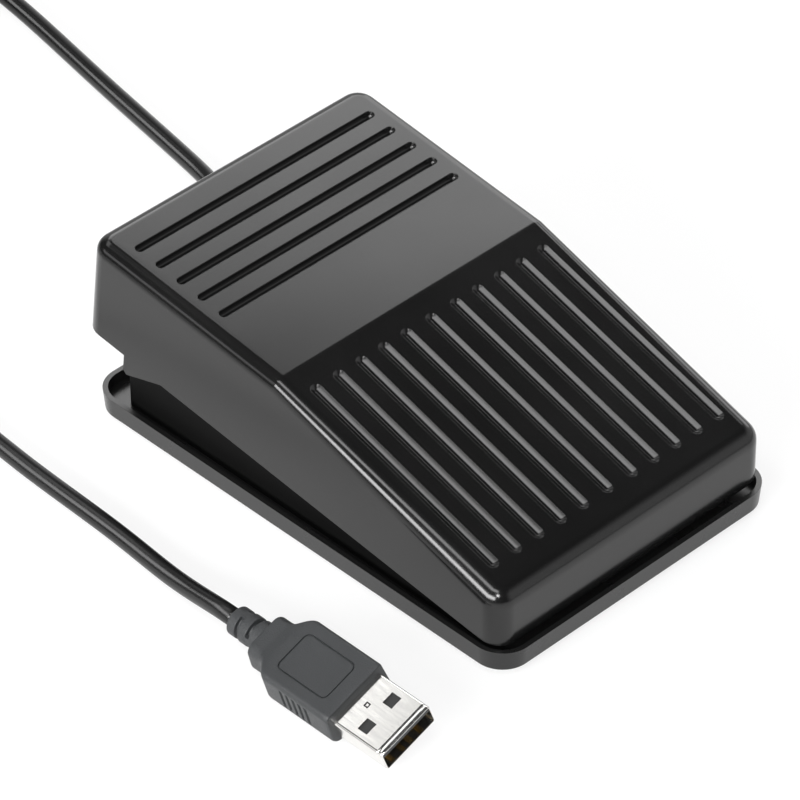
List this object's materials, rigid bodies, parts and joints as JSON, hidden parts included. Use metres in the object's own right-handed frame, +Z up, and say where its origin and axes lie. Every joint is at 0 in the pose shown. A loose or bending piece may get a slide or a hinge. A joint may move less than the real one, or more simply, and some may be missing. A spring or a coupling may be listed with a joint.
{
  "type": "usb foot pedal switch",
  "caption": "Black wedge-shaped foot pedal hinged at its low front over a shallow tray, with grip grooves, return springs, a lever switch on a board, and a coiled lead with a USB plug.",
  "frame": {"origin": "on the floor under the middle of the pedal, the lead left out", "axes": "+X across the pedal, +Y from its low front end to its high rear end, +Z up"},
  "size_m": [0.1086, 0.2685, 0.0385],
  "materials": {
    "tray_plastic": "moulded satin black",
    "cover_plastic": "moulded glossy black",
    "foot_rubber": "matt black rubber",
    "pin_steel": "ground steel",
    "spring_steel": "drawn wire",
    "board_laminate": "green solder mask",
    "screw_steel": "zinc plated",
    "case_plastic": "moulded black",
    "terminal_brass": "tinned brass",
    "chip_epoxy": "moulded epoxy",
    "can_metal": "drawn can",
    "capacitor_sleeve": "shrunk sleeve",
    "header_nylon": "natural nylon",
    "wire_insulation": "coloured insulation",
    "gland_rubber": "moulded soft black",
    "cord_jacket": "extruded satin black",
    "tie_nylon": "satin black",
    "grip_plastic": "moulded matt dark grey",
    "shell_nickel": "nickel plated sheet",
    "tongue_plastic": "moulded white",
    "contact_gold": "gold flash",
    "lever_steel": "stamped sheet",
    "plunger_plastic": "moulded red"
  },
  "bodies": {
    "base": {"base_tray": "tray_plastic", "rubber_feet": "foot_rubber", "hinge_pin": "pin_steel", "spring_left": "spring_steel", "spring_right": "spring_steel", "circuit_board": "board_laminate", "board_screws": "screw_steel", "switch_case": "case_plastic", "switch_terminals": "terminal_brass", "controller_chip": "chip_epoxy", "crystal": "can_metal", "capacitors": "capacitor_sleeve", "resistors": "chip_epoxy", "wire_header": "header_nylon", "lead_wires": "wire_insulation", "cable_gland": "gland_rubber", "cable_clamp": "case_plastic", "clamp_screws": "screw_steel", "cable_tail": "cord_jacket", "cord_rear": "cord_jacket", "cord_coil": "cord_jacket", "coil_tie": "tie_nylon", "cord_front": "cord_jacket", "plug_relief": "grip_plastic", "plug_grip": "grip_plastic", "plug_shell": "shell_nickel", "plug_tongue": "tongue_plastic", "plug_contacts": "contact_gold"},
    "pedal": {"pedal_cover": "cover_plastic"},
    "lever": {"switch_lever": "lever_steel"},
    "plunger": {"switch_plunger": "plunger_plastic"}
  },
  "joints": [
    {"name": "pedal_press", "type": "hinge", "parent": "base", "child": "pedal", "pos_m": [0, -0.04243, 0.00843], "axis": [-1, 0, 0], "range_deg": [0, 4.3], "stiffness_Nm_per_rad": 5.3, "springref_deg": -3.27, "deforming": ["spring_left", "spring_right"]},
    {"name": "lever_swing", "type": "hinge", "parent": "base", "child": "lever", "pos_m": [0, 0.01157, 0.018], "axis": [1, 0, 0], "range_deg": [0, 9.87]},
    {"name": "plunger_slide", "type": "slide", "parent": "base", "child": "plunger", "axis": [0, 0, -1], "range_m": [0, 0.00065]}
  ],
  "couplings": [
    {"joint": "lever_swing", "follows": "pedal_press", "ratio": 2.29},
    {"joint": "plunger_slide", "follows": "pedal_press", "m_per_rad": 0.00857}
  ]
}
